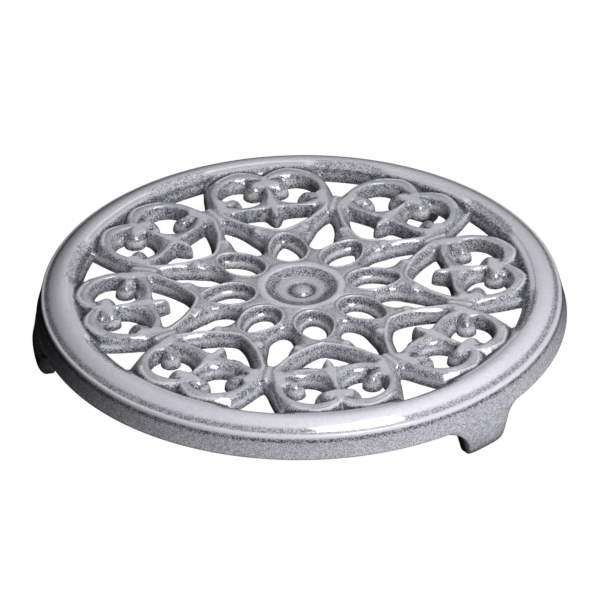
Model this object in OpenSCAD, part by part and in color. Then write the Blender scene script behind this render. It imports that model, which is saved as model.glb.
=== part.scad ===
// Round cast-iron trivet: a crowned rim on a hollow skirt, eight heart scrolls,
// eight loops, a centre medallion and three feet. The origin is on the axis of the
// round, level with the feet's soles, and +Z is up. The first heart points along +X.

/* [Overall] */
// Diameter over the lower edge of the skirt
overall_d = 230; // [200:1:260]
// Height of the scrollwork's crests above the table
crest_h = 28.6; // [24:0.1:36]
// Thickness of the scrollwork, crest to flat underside
plate_t = 6.5; // [5:0.1:8]

/* [Rim] */
// Width of the rim, from the skirt's lower edge in to the scrollwork
rim_w = 18; // [15:0.5:24]
// Rise of the rim's crown above the scrollwork's crests
crown_rise = 1; // [0.3:0.1:2]
// Depth of the valley inside the crown, below the crests
valley_drop = 1.4; // [0.8:0.1:2.5]
// Width of the crowned band
band_w = 12.2; // [10:0.1:14]
// Depth of the outer groove below the crests
groove_drop = 2.8; // [2:0.1:4]
// Radius of the bead round the outer edge
bead_r = 1.1; // [0.8:0.05:1.3]
// How far the skirt leans out between the bead and its lower edge
skirt_lean = 3.2; // [2:0.1:5]
// Depth of the skirt's lower edge below the crests
skirt_drop = 13.5; // [11:0.1:17]
// Wall thickness of the skirt
skirt_t = 4.6; // [3.5:0.1:6]
// Radius of the fillet inside the hollow skirt
hollow_fillet = 3; // [1:0.1:4]

/* [Feet] */
// Width of a foot where it leaves the skirt
foot_w = 28; // [22:0.5:36]
// Width of a foot's sole
sole_w = 18; // [12:0.5:21]
// Radial thickness of a foot at its top
foot_t = 9; // [7:0.1:11]
// How far a foot's face flares out past the skirt
foot_flare = 1.6; // [0.5:0.1:2.5]
// Radius of the rounded outer edge of the sole
sole_round = 3; // [1:0.1:4]
// Radius of the hollow in a foot's flank
flank_r = 16; // [14:0.5:24]

/* [Medallion] */
// Diameter of the medallion
medallion_d = 36.4; // [32:0.1:40]
// Diameter of the crest of its ring
ring_d = 32.6; // [29:0.1:35]
// Diameter of the flat floor of its recess
floor_d = 21; // [17:0.1:24]
// Depth of the recess
recess_depth = 2; // [1:0.1:3]
// Diameter of the dome in the middle
dome_d = 9.4; // [6:0.1:12]
// Height of the dome above the recess's floor
dome_rise = 1.3; // [0.6:0.1:1.9]

/* [Loops] */
// Length of a loop's crest, from the medallion side to its tip
loop_l = 23.3; // [20:0.1:25]
// Distance from the medallion's edge to a loop's crest
loop_start = 2.3; // [2:0.1:3]
// Width of a loop's crest at its widest
loop_w = 17.5; // [15:0.1:18.5]
// Width of the flank from a loop's crest to its opening
loop_bank_in = 3.2; // [2.5:0.1:3.6]
// Width of the flank from a loop's crest to its outside
loop_bank_out = 3; // [2.4:0.1:3.5]
// Width of the web between two loops
web_w = 6.4; // [5:0.1:8]

/* [Hearts] */
// Half width of the bars that outline a heart, at their foot
outline_half_w = 3.7; // [3.2:0.05:4.2]
// Half width of the arched bars across a heart, at their foot
arch_half_w = 3; // [2.6:0.05:3.4]
// Half width of the bar down the middle of a heart, at its foot
spine_half_w = 3; // [2.6:0.05:3.6]
// Radius of the inner scroll balls
inner_ball_r = 4.7; // [4:0.1:5.2]
// Radius of the outer scroll balls
outer_ball_r = 4.3; // [3.6:0.1:4.8]
// Radius of the small nubs beside a heart's point
nub_r = 2.6; // [2:0.1:3]
// Width of the strip that ties a heart to the rim
strip_w = 1.7; // [1:0.1:2.5]

/* [Hidden] */
SCROLL_COUNT = 8;
// Where the feet stand round the rim, in degrees from +X
foot_angles = [52, 178, 302];
FOOT_COUNT = len(foot_angles);
$fn = 96;

enamel = "#b9b6bf";
enamel_shade = "#8f8e96";

// The levels that the pieces share, above the table
under_z = crest_h - plate_t;
skirt_z = crest_h - skirt_drop;
cut = plate_t;

// The radii at which the pieces meet
skirt_r = overall_d / 2;
scroll_r = skirt_r - rim_w;
medallion_r = medallion_d / 2;
loop_v0 = medallion_r + loop_start;
loop_v1 = loop_v0 + loop_l;
point_gap = loop_bank_out / 3;
split_r = loop_v1 + point_gap;
sector_angle = 360 / SCROLL_COUNT;
half_angle = sector_angle / 2;
round_share = 1 / cos(180 / $fn);

// A heart's own frame: u across it, v outwards from the trivet's axis. Shares of u
// follow the half width of a sector at the rim, shares of v run from split_r to scroll_r.
heart_half_w = scroll_r * tan(half_angle);
heart_l = scroll_r - split_r;
function at(p) = [p[0] * heart_half_w, split_r + p[1] * heart_l];

// The right half of a heart's outline from its point to the cusp: the shares of u and v,
// then the shares of the bar's half width at its foot and on its flat crest.
outline_shares = [
    [0.000, 0.015, 0.85, 0.14],
    [0.122, 0.033, 0.87, 0.17],
    [0.237, 0.086, 0.82, 0.22],
    [0.333, 0.154, 0.86, 0.18],
    [0.446, 0.261, 0.87, 0.25],
    [0.548, 0.365, 0.94, 0.39],
    [0.602, 0.486, 1.01, 0.58],
    [0.623, 0.600, 1.00, 0.44],
    [0.608, 0.716, 0.99, 0.35],
    [0.547, 0.813, 0.99, 0.35],
    [0.447, 0.893, 0.99, 0.36],
    [0.309, 0.943, 1.02, 0.35],
    [0.174, 0.930, 0.94, 0.33],
    [0.081, 0.877, 0.89, 0.24],
    [0.000, 0.803, 0.74, 0.17]
];
// The right half of the arch that closes the two chambers below
arch_shares = [
    [0.000, 0.458, 1.29, 0.71],
    [0.080, 0.432, 1.17, 0.48],
    [0.171, 0.398, 0.99, 0.24],
    [0.283, 0.391, 1.01, 0.21],
    [0.393, 0.398, 1.00, 0.24],
    [0.502, 0.433, 1.00, 0.38],
    [0.582, 0.472, 1.00, 0.37]
];
// The spine from the tongue's tip out to the knob, with a third and fourth share as above
spine_shares = [
    [0, 0.254, 0.24, 0.05],
    [0, 0.286, 0.80, 0.20],
    [0, 0.353, 1.32, 0.56],
    [0, 0.439, 1.25, 0.84],
    [0, 0.527, 1.06, 0.38],
    [0, 0.608, 0.93, 0.19],
    [0, 0.691, 0.93, 0.16],
    [0, 0.761, 1.09, 0.51]
];
// The places of the balls, the knob's ends, the nubs and the ends of the balls' arms
inner_ball_share = [0.134, 0.758];
outer_ball_share = [0.408, 0.565];
arm_share = [0.549, 0.524];
nub_share = [0.252, 0.071];
spur_share = [0.301, 0.017];
cusp_share = [0.000, 0.803];
// The web between two hearts, along the line where they meet, from split_r to scroll_r
seam_shares = [[0.38, 0.62], [0.66, 0.62]];
// The flank of a bar: the share of the way from crest to foot, and the depth as a share
// of the plate's thickness
bank_shares = [[1, 1], [1, 0.55], [0.62, 0.14], [0, 0]];
// How a stud narrows to its top, and how deep its shoulder lies
stud_top_share = 0.5;
stud_shoulder_share = 0.35;
stud_top_drop_share = 0.06;
stud_sides = 10;
// How much blunter the outer end of a loop is, and the points and crest of its ring
egg_share = 0.17;
loop_steps = 20;
loop_crest_w = 0.8;
// How far the medallion's ring falls to its edge
ring_flat_share = 0.35;
dome_steps = 5;
// The rim's curves: how deep the bead sits, where it starts and how far it goes round,
// and how much of the skirt's lean its inside follows
band_steps = 12;
bead_sink_share = 0.2;
bead_start = -20;
bead_sweep = 200;
lean_share = 0.5;
fillet_steps = 4;
// The feet: how low the flare and the flank's hollow lie, and how far the back leans in
flare_share = 0.62;
flank_drop_share = 0.1;
sole_share = 0.3;
round_steps = 5;

function unit(v) = v / norm(v);
function side(d) = [d[1], -d[0]];
function flip(s) = [-s[0], s[1], s[2], s[3]];

// A table of shares with its left half put before it, in one open run or in one closed
// round that doesn't repeat the last point
function mirrored(list) = concat([for (i = [len(list) - 1 : -1 : 1]) flip(list[i])], list);
function closed_round(list) = concat([for (i = [len(list) - 2 : -1 : 1]) flip(list[i])], list);

// One cross-section of a bar, as points round its flat foot, its flanks and its crest
function section(p, n, foot, crest) = concat(
    [for (b = bank_shares) bank_point(p, n, -1, foot, crest, b)],
    [for (i = [len(bank_shares) - 1 : -1 : 0]) bank_point(p, n, 1, foot, crest, bank_shares[i])]
);
function bank_point(p, n, s, foot, crest, b) =
    let (x = s * (crest + (foot - crest) * b[0]))
    [p[0] + n[0] * x, p[1] + n[1] * x, crest_h - plate_t * b[1]];

// The faces between rings of m points, round to the first ring again where closed
function wall_faces(rings, m, closed) = [
    for (i = [0 : rings - (closed ? 1 : 2)]) for (j = [0 : m - 1])
        let (k = (i + 1) % rings, n = (j + 1) % m)
        each [[i * m + j, k * m + n, i * m + n], [i * m + j, k * m + j, k * m + n]]
];
function end_faces(rings, m) = [
    [for (j = [0 : m - 1]) j],
    [for (j = [m - 1 : -1 : 0]) (rings - 1) * m + j]
];

// A bar with a rounded back along the path of a table of shares
module bar(table, half_w, closed = false) {
    path = [for (s = table) at(s)];
    count = len(path);
    m = 2 * len(bank_shares);
    points = [
        for (i = [0 : count - 1])
            let (before = closed ? (i + count - 1) % count : max(i - 1, 0),
                 after = closed ? (i + 1) % count : min(i + 1, count - 1),
                 n = side(unit(path[after] - path[before])))
            each section(path[i], n, half_w * table[i][2], half_w * table[i][3])
    ];
    faces = concat(wall_faces(count, m, closed), closed ? [] : end_faces(count, m));
    polyhedron(points, faces, convexity = 6);
}

// A round stud with a rounded top, for balls and nubs
module stud(p, r) {
    translate([p[0], p[1], under_z]) {
        cylinder(h = plate_t * (1 - stud_shoulder_share), r = r, $fn = stud_sides);
        cylinder(h = plate_t * (1 - stud_top_drop_share), r = r * stud_top_share, $fn = stud_sides);
    }
}

// Two studs and the metal between them
module link(p, r, q, s) {
    hull() {
        stud(p, r);
        stud(q, s);
    }
}

// A wedge of a ring about the trivet's axis, one sector wide and centred on +Y
module sector_space(r0, r1) {
    reach = 2 * r1;
    intersection() {
        translate([0, 0, under_z - cut])
            difference() {
                cylinder(h = plate_t + 2 * cut, r = r1);
                translate([0, 0, -cut]) cylinder(h = plate_t + 4 * cut, r = r0);
            }
        translate([0, 0, under_z - cut])
            linear_extrude(height = plate_t + 2 * cut)
                polygon([[0, 0], [reach * tan(half_angle), reach], [-reach * tan(half_angle), reach]]);
    }
}

// The strip of plate that ties the scrollwork to the rim
module rim_strip() {
    translate([0, 0, under_z])
        difference() {
            cylinder(h = plate_t - valley_drop, r = scroll_r + strip_w);
            translate([0, 0, -cut]) cylinder(h = plate_t + cut, r = scroll_r - strip_w);
        }
}

// One half of a heart's balls, arms and nubs
module heart_studs() {
    link(at(inner_ball_share), inner_ball_r, at(cusp_share), spine_half_w);
    link(at(outer_ball_share), outer_ball_r, at(arm_share), arch_half_w);
    link(at(nub_share), nub_r, at(spur_share), nub_r * stud_top_share);
}

// The seam of metal that joins a heart to its neighbour, from one end of seam_shares
module heart_seam(turn) {
    rotate(turn)
        link([0, split_r + seam_shares[0][0] * heart_l], outline_half_w * seam_shares[0][1],
             [0, split_r + seam_shares[1][0] * heart_l], outline_half_w * seam_shares[1][1]);
}

// The raised web between two loops
module loop_web(turn) {
    rotate(turn)
        link([0, medallion_r - web_w / 2], web_w / 2,
             [0, loop_v0 + web_w], web_w / 2);
}

// An egg-shaped curve along a loop, drawn in or out from the crest by gap
function egg(t, gap) =
    let (l = loop_l + 2 * gap, w = loop_w / 2 + gap)
    [w * sin(t) * (1 + egg_share * cos(t)), loop_v0 - gap + l * (1 - cos(t)) / 2];

// The ring of a loop: nested egg curves, inside foot to crest to outside foot
module loop_ring() {
    crest = loop_crest_w / 2;
    rows = concat(
        [for (b = bank_shares) [-crest - (loop_bank_in - crest) * b[0], b[1]]],
        [for (i = [len(bank_shares) - 1 : -1 : 0])
            [crest + (loop_bank_out - crest) * bank_shares[i][0], bank_shares[i][1]]]
    );
    points = [
        for (i = [0 : loop_steps - 1])
            for (r = rows)
                let (p = egg(360 * i / loop_steps, r[0]))
                [p[0], p[1], crest_h - plate_t * r[1]]
    ];
    polyhedron(points, wall_faces(loop_steps, len(rows), true), convexity = 6);
}

// Everything in one sector, before it is parted into the loop and the heart
module sector_scrollwork() {
    bar(closed_round(outline_shares), outline_half_w, closed = true);
    bar(mirrored(arch_shares), arch_half_w);
    bar(spine_shares, spine_half_w);
    heart_studs();
    mirror([1, 0, 0]) heart_studs();
    heart_seam(half_angle);
    heart_seam(-half_angle);
    loop_web(half_angle);
    loop_web(-half_angle);
    loop_ring();
    rim_strip();
}

// A sector's place on the trivet: the first one points along +X
function sector_turn(k) = (k - 1) * sector_angle - 90;

module heart_scroll(k) {
    color(enamel)
        rotate(sector_turn(k))
            intersection() {
                sector_scrollwork();
                sector_space(split_r, scroll_r);
            }
}

module loop(k) {
    color(enamel)
        rotate(sector_turn(k))
            intersection() {
                sector_scrollwork();
                sector_space(medallion_r * round_share, split_r);
            }
}

// The medallion: a ring, a dished recess, its floor and a low dome, turned round the axis
module centre_medallion() {
    ring_r = ring_d / 2;
    floor_r = floor_d / 2;
    dome_r = dome_d / 2;
    floor_z = crest_h - recess_depth;
    dome = [
        for (i = [0 : dome_steps])
            [dome_r * sin(90 * (1 - i / dome_steps)), floor_z + dome_rise * sin(90 * i / dome_steps)]
    ];
    ring_half = medallion_r - ring_r;
    ring = [
        for (i = [0 : dome_steps])
            [ring_r + ring_half * cos(180 * i / dome_steps),
             crest_h - ring_half * ring_flat_share * (1 - sin(180 * i / dome_steps))]
    ];
    color(enamel)
        rotate_extrude()
            polygon(concat(
                [[0, under_z], [medallion_r, under_z]],
                ring,
                [[floor_r, floor_z]],
                dome
            ));
}

// The band's crown: an arch over a curve that falls to the valley and to the groove
function band_point(i, r0) =
    let (s = i / band_steps,
         arch = (crown_rise + (valley_drop + groove_drop) / 4) * sin(180 * s),
         ends = valley_drop * (1 - s) * (1 - s) + groove_drop * s * s)
    [r0 + band_w * s, crest_h + arch - ends];

// The rim's section: underside, hollow skirt, leaning face, bead, groove and crowned band
module rim() {
    bead_x = skirt_r - skirt_lean - bead_r;
    bead_z = crest_h - groove_drop - bead_r * bead_sink_share;
    hollow_r = skirt_r - skirt_t;
    fillet = [
        for (i = [0 : fillet_steps])
            let (a = 90 * i / fillet_steps)
            [hollow_r - skirt_lean * lean_share - hollow_fillet * (1 - sin(a)),
             under_z - hollow_fillet * (1 - cos(a))]
    ];
    bead = [
        for (i = [0 : band_steps])
            let (a = bead_start + bead_sweep * i / band_steps)
            [bead_x + bead_r * cos(a), bead_z + bead_r * sin(a)]
    ];
    color(enamel)
        rotate_extrude()
            polygon(concat(
                [[scroll_r, under_z]],
                fillet,
                [[hollow_r, skirt_z], [skirt_r, skirt_z]],
                bead,
                [for (i = [band_steps : -1 : 0]) band_point(i, scroll_r)]
            ));
}

// A foot: the skirt carried on down, flared, rounded in to a flat sole and hollowed
// on both flanks
module foot(k) {
    face_r = skirt_r + foot_flare;
    back_r = skirt_r - foot_t;
    flare_z = skirt_z * flare_share;
    face = concat(
        [[skirt_r, skirt_z], [face_r, flare_z]],
        [for (i = [0 : round_steps])
            let (a = 90 * i / round_steps)
            [face_r - sole_round * (1 - cos(a)), sole_round * (1 - sin(a))]]
    );
    color(enamel_shade)
        rotate(foot_angles[k - 1])
            intersection() {
                rotate_extrude()
                    polygon(concat(
                        face,
                        [[back_r + foot_t * sole_share, 0], [back_r, skirt_z]]
                    ));
                foot_outline();
            }
}

// A foot's shape seen from outside, as a block along +X with two hollowed flanks
module foot_outline() {
    length = 2 * foot_t;
    rise = skirt_z + cut;
    translate([skirt_r - length, 0, 0])
        rotate([90, 0, 90])
            linear_extrude(height = 2 * length)
                difference() {
                    translate([-foot_w / 2, 0]) square([foot_w, rise]);
                    for (s = [-1, 1])
                        translate([s * (sole_w / 2 + flank_r), flank_drop_share * skirt_z])
                            circle(r = flank_r);
                }
}

rim();
centre_medallion();
for (k = [1 : SCROLL_COUNT]) {
    heart_scroll(k);
    loop(k);
}
for (k = [1 : FOOT_COUNT]) {
    foot(k);
}
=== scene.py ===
"""Round enamelled cast trivet: openwork of hearts and loops in a crowned rim on three feet."""
from functools import lru_cache
from math import acos, atan2, cos, hypot, pi, radians, sin

import bmesh
import bpy
import numpy as np
from mathutils import Matrix, Vector
from mathutils.geometry import delaunay_2d_cdt


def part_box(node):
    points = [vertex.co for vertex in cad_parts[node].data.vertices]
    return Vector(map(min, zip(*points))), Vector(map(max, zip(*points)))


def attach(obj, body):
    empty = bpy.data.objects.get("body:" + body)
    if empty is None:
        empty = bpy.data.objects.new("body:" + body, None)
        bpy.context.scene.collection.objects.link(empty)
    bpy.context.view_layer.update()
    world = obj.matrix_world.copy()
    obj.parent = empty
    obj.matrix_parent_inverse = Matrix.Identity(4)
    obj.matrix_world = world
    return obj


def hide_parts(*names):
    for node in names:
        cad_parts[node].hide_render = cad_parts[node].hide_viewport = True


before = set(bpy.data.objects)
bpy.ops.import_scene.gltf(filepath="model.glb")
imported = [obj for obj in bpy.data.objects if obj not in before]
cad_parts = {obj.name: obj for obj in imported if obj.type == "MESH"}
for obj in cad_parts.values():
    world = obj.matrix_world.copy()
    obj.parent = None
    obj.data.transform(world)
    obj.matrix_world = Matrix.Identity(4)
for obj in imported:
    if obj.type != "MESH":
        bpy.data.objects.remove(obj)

bl_info = {
    "name": "Cast Trivet",
    "version": (1, 0, 0),
    "blender": (4, 5, 0),
    "location": "View3D > Sidebar > Trivet",
    "description": "Builds a round cast trivet with heart scrollwork round its packed frame",
    "category": "Object",
}

MM = 0.001
SECTORS = 8
FOOT_ANGLES = (52, 178, 302)
HALF = pi / SECTORS
# A sector is planned round +Y, and the first heart points along +X
FIRST_ANGLE = -pi / 2

# The frame's own levels and the medallion's radius, in metres
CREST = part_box("heart_scroll_1")[1].z
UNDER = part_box("heart_scroll_1")[0].z
MEDALLION_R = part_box("centre_medallion")[1].x


# The user's sizes and colours

class TrivetSizes(bpy.types.PropertyGroup):
    """Sizes of the casting."""
    plate: bpy.props.FloatProperty(
        name="Plate thickness", description="From the crests to the flat underside",
        default=CREST - UNDER, unit="LENGTH")
    medallion_r: bpy.props.FloatProperty(
        name="Medallion radius", description="Where the medallion meets the loops",
        default=MEDALLION_R, unit="LENGTH")
    split_r: bpy.props.FloatProperty(
        name="Loop and heart seam", description="Radius where the loops end and the hearts begin",
        default=44.8 * MM, unit="LENGTH")
    scroll_r: bpy.props.FloatProperty(
        name="Heart and rim seam", description="Radius where the hearts meet the rim",
        default=97.0 * MM, unit="LENGTH")
    opening_r: bpy.props.FloatProperty(
        name="Rim's inner wall", description="Radius of the rim's wall beside the openings",
        default=95.5 * MM, unit="LENGTH")
    softness: bpy.props.FloatProperty(
        name="Softness", description="How far the glaze rounds the relief over",
        default=0.32 * MM, unit="LENGTH")
    surface_step: bpy.props.FloatProperty(
        name="Surface step", description="Distance between neighbouring points of the relief",
        default=0.58 * MM, unit="LENGTH")


class TrivetColours(bpy.types.PropertyGroup):
    """Colours of the enamel, with the painted shade and the painted pale reflection laid on it."""
    crest: bpy.props.FloatVectorProperty(
        name="Crests", description="Enamel on the crests and the band",
        default=(0.485, 0.477, 0.524), size=3, subtype="COLOR")
    # The slope colour is both the enamel's darker tone and the painted shade that the darkness values
    # lay on it
    slope: bpy.props.FloatVectorProperty(
        name="Slopes", description="Enamel on the slopes and in the valleys",
        default=(0.165, 0.178, 0.2), size=3, subtype="COLOR")
    # A painted reflection: this pale colour stands for the lit table mirrored and bounced onto the
    # lower walls
    pool: bpy.props.FloatVectorProperty(
        name="Painted reflection", description="Enamel that pooled pale on the lower walls",
        default=(0.66, 0.68, 0.73), size=3, subtype="COLOR")
    speck: bpy.props.FloatVectorProperty(
        name="Specks", description="Fine dark specks in the enamel",
        default=(0.012, 0.012, 0.016), size=3, subtype="COLOR")
    speck_size: bpy.props.FloatProperty(
        name="Speck size", description="Distance from speck to speck",
        default=0.4 * MM, unit="LENGTH")


class TrivetStage(bpy.types.PropertyGroup):
    """Where the camera stands, and its lens."""
    azimuth: bpy.props.FloatProperty(
        name="Camera azimuth", description="Turn of the camera about the trivet's axis",
        default=radians(-10.43), subtype="ANGLE")
    elevation: bpy.props.FloatProperty(
        name="Camera elevation", description="Height of the camera as an angle",
        default=radians(32.7), subtype="ANGLE")
    distance: bpy.props.FloatProperty(
        name="Camera distance", description="From the camera to the middle of the crests",
        default=2.8507, unit="LENGTH")
    roll: bpy.props.FloatProperty(
        name="Camera roll", description="Tilt of the camera about its own line of sight",
        default=radians(-0.52), subtype="ANGLE")
    lens: bpy.props.FloatProperty(
        name="Lens", description="Focal length in millimetres on a 36 mm sensor",
        default=396.48)


# Outlines of the openings at the underside, in millimetres in one sector's plan: across
# it, then out from the axis. A half outline is mirrored, and a ball bites into a circle.

LOOP_OPENING = {"start": 23.4, "end": 40.2, "half_width": 5.2, "egg": 0.24}
CHAMBER = ((12.5, 79.5), 8.9)
CHAMBER_BALLS = [((5.5, 84.3), 4.7), ((16.5, 74.3), 4.3)]
SMILE = [(0, 57.4), (1.5, 58.2), (2.8, 60.5), (4.0, 63.0), (7, 63.8), (12, 63.6), (15.5, 63.2),
         (16.8, 62.6), (15, 60), (11, 55.6), (7, 52.1), (3.5, 49.8), (0, 48.6)]
# These two lie on the line between two sectors: across that line, then along it
LEAF = [(0, 34.0), (2.6, 35.2), (4.6, 38.5), (5.2, 42.0), (4.7, 46.0), (4.4, 49.0), (3.8, 53.0),
        (2.3, 57.5), (0.9, 60.3), (0, 61.0)]
CORNER = [(0, 77.5), (1.6, 79.2), (4.3, 84.5), (7.0, 89.5), (9.3, 93.2), (10.2, 95.0)]
# A lobe's outer crest, beyond which the surface falls towards the rim
LOBE_CREST = [(0, 90.5), (3, 92.8), (7, 95.3), (12, 95.9), (18.5, 92.8), (23, 88), (25.6, 82),
              (26.2, 76), (25.5, 70), (24.2, 66.5)]
# The crest lines: how far each stays level to either side, then its run. The light ones go
# round the lobes of a heart, down its stroke, along the seam between two hearts and up the
# spine. The broad ones go along the arch, inside the lobes, up the spine, out to the balls
# and down the tongue.
LIGHT_LINES = [
    (0.7, [(2.2, 92.5), (4, 94.0), (7, 95.4), (12, 96.0), (18.5, 92.8), (20.8, 90.5)]),
    (0.1, [(0, 90.5), (3, 93.0)]),
    (0.3, [(0, 45.8), (3.5, 46.9), (6.3, 48.3), (11.5, 51.3), (15, 53.9), (18.5, 57.4), (21.9, 60.9),
           (23.6, 64.5)]),
    (0.5, [(24.9, 60.1), (28.4, 68.6)]),
    (0.5, [(0, 61.2), (0, 79)]),
]
BROAD_LINES = [
    (0.95, [(0, 67), (6, 65.8), (12.4, 64.8), (18.5, 66.5), (23, 69.5)]),
    (1.2, [(2.6, 88.0), (4, 90.8), (8, 92.6), (12.5, 92.9), (17.5, 90.6), (21.8, 86), (24.1, 80),
           (24.0, 74)]),
    (0.15, [(0, 59), (0, 90)]),
    (0.4, [(22, 72), (18.6, 73.4)]),
    (1.0, [(0, 60.8), (0, 73.5)]),
]
# Broad level places: from, to and how far to either side
PLATEAUS = [((0, 66.5), (0, 70.5), 1.8), ((22.3, 66.5), (22.6, 73.5), 1.9),
            ((0, 84.8), (2.6, 84.9), 2.0), ((0, 84.3), (4.4, 84.8), 1.3), ((0, 85), (0, 90.5), 1.0),
            ((10, 48.3), (10.6, 47.6), 1.3)]
# Dark grooves: how deep, how wide, then the run
GROOVES = [
    (0.15, 1.0, [(23.4, 60.0), (26.9, 69.5)]),
    (0.3, 0.45, [(1.4, 90.2), (3.3, 92.3), (7.4, 94.4), (12.2, 94.7), (18, 91.9), (21.0, 88.9)]),
    (0.8, 0.8, [(3.0, 88.4), (5.5, 89.6), (8.5, 89.8)]),
    (0.8, 0.8, [(2.6, 80.4), (4.6, 79.2), (6.0, 79.0)]),
    (0.8, 0.8, [(20.6, 78.5), (18.0, 79.4), (16.0, 79.4)]),
    (0.8, 0.8, [(19.6, 69.6), (17.0, 69.4), (15.0, 69.8)]),
    (0.6, 0.8, [(2.6, 62.4), (4.4, 65.0)]),
]
# A loop's crest and the groove outside it, as distances from its opening
LOOP_CREST = 3.4
LOOP_GROOVE = 4.7
LOOP_GROOVE_DEPTH = 0.3
# The crests that run round the axis: radius, and how far each stays level to either side
RING_CRESTS = [(17.8, 0.8), (103.5, 4.4)]

# How the rim's wall rises in a three-cornered opening: distance in, height above the crests
RIM_WALL = [(0, -6.5), (0.05, -5.6), (0.3, -3.9), (0.7, -2.8), (1.2, -2.2), (9, 0)]
# The sine of the steepest slope with which a flank may leave its crest
MAX_START = 0.5
# The share of the depth that falls in the bevel above a ledge
BEVEL_SHARE = 0.47
# How steeply the surface falls beyond a lobe's outer crest
LOBE_FALL = 0.8
# The medallion: radius, height above the crests, darkness (the enamel's tone, with painted shade in
# its grooves), grain
MEDALLION = [(0, -0.9, 0.35, 0.3), (1.4, -1.0, 0.35, 0.3), (2.8, -1.4, 0.4, 0.4),
             (3.9, -2.05, 0.55, 0.6), (4.6, -2.75, 0.8, 0.9), (5.2, -3.25, 1.0, 1.2),
             (5.7, -3.0, 0.9, 1.0), (6.3, -2.4, 0.35, 0.4), (8, -2.15, 0.1, 0.2),
             (10, -2.1, 0.2, 0.4), (11.5, -1.8, 0.55, 0.9), (13, -1.25, 0.55, 1.0),
             (14.4, -0.75, 0.5, 0.9), (15.1, -0.65, 0.8, 0.9), (15.7, -0.22, 0.1, 0.2),
             (16.4, 0.0, 0.0, 0.05), (17.5, -0.03, 0.0, 0.1), (18.6, -0.1, 0.0, 0.15)]
# The crown of the rim's band: radius, rise, and fall for each square of the distance from it
CROWN_R = 103
CROWN_RISE = 1.0
CROWN_FALL_IN = 0.064
CROWN_FALL_OUT = 0.070
# The rim from the crown out and round under the skirt: radius, height above the crests
RIM_SECTION = [(101, 0.75), (102, 0.94), (103, 1.0), (104, 0.93), (105, 0.72), (106, 0.38),
               (107, -0.08), (108, -0.66), (109, -1.36), (109.8, -1.98), (110.4, -2.45),
               (110.9, -2.76), (111.3, -2.88), (111.65, -2.92), (112.0, -3.06), (112.3, -3.4),
               (112.5, -3.95), (112.7, -4.8), (113.1, -6.4), (113.55, -8.2), (114.1, -10.5),
               (114.6, -12.2), (114.78, -12.9), (114.7, -13.3), (114.4, -13.5),
               (113.6, -13.5), (112.4, -13.5), (111.2, -13.45), (110.8, -13.2), (110.55, -12.6),
               (110.2, -11.5), (109.6, -9.9), (109.0, -8.6), (108.2, -7.6), (107.1, -6.85),
               (106, -6.5), (103, -6.5), (100, -6.5), (97, -6.5)]

# How the surface is cut up: steps from one point of a curve to the next, rows of points that
# follow an opening's border as distances from it, and steps along one sector of each seam
CURVE_STEPS = 6
BORDER_ROWS = (0.12, 0.42, 0.85)
ARC_STEPS = {"medallion": 24, "split": 60, "scroll": 90}
# A point this near to an opening lies on its edge
ON_EDGE = 2e-3


# Plane geometry in millimetres

def mirrored(points):
    """A half outline and its mirror image, as one closed run."""
    return list(points) + [(-x, y) for x, y in reversed(points) if abs(x) > 1e-6]


def smooth_curve(points, closed=True, steps=CURVE_STEPS):
    """A smooth curve through given points."""
    p = np.array(points, float)
    last = len(p) - 1
    run = []
    for i in range(len(p) if closed else last):
        near = [i - 1, i, i + 1, i + 2]
        a, b, c, d = [p[j % len(p)] if closed else p[min(max(j, 0), last)] for j in near]
        for t in np.arange(steps) / steps:
            bend = 2 * a - 5 * b + 4 * c - d
            twist = 3 * b - a - 3 * c + d
            run.append(0.5 * (2 * b + (c - a) * t + bend * t ** 2 + twist * t ** 3))
    if not closed:
        run.append(p[last])
    return np.array(run)


def line_distance(run, x, y, closed=True):
    """Distance from each point to a run of straight lines."""
    starts, ends = run, np.roll(run, -1, axis=0)
    if not closed:
        starts, ends = starts[:-1], ends[:-1]
    best = np.full(x.shape, np.inf)
    for p, q in zip(starts, ends):
        d = q - p
        t = np.clip(((x - p[0]) * d[0] + (y - p[1]) * d[1]) / max(d @ d, 1e-12), 0, 1)
        best = np.minimum(best, (x - p[0] - t * d[0]) ** 2 + (y - p[1] - t * d[1]) ** 2)
    return np.sqrt(best)


def curve_distance(line, x, y):
    """Distance from each point to a smooth open curve."""
    return line_distance(smooth_curve(line, closed=False), x, y, False)


def is_inside(run, x, y):
    """Whether each point lies inside a closed run."""
    hit = np.zeros(x.shape, bool)
    for p, q in zip(run, np.roll(run, -1, axis=0)):
        if p[1] != q[1]:
            crossing = (p[1] > y) != (q[1] > y)
            hit ^= crossing & (x < (q[0] - p[0]) * (y - p[1]) / (q[1] - p[1]) + p[0])
    return hit


def signed_distance(run, x, y):
    """Distance to a closed run, negative inside it."""
    d = line_distance(run, x, y)
    return np.where(is_inside(run, x, y), -d, d)


def smooth_max(a, b, width):
    """The larger of two, with the change between them rounded over a width."""
    h = np.clip(0.5 + 0.5 * (a - b) / width, 0, 1)
    return b + (a - b) * h + width * h * (1 - h)


def smooth_step(x, low, high):
    """0 below low, 1 above high and smooth between them."""
    t = np.clip((x - low) / (high - low), 0, 1)
    return t * t * (3 - 2 * t)


def arc_points(centre, radius, start, stop, step):
    """Points along an arc, both ends included."""
    count = max(3, int(abs(stop - start) * radius / step))
    return [(centre[0] + radius * cos(t), centre[1] + radius * sin(t))
            for t in np.linspace(start, stop, count)]


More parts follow.
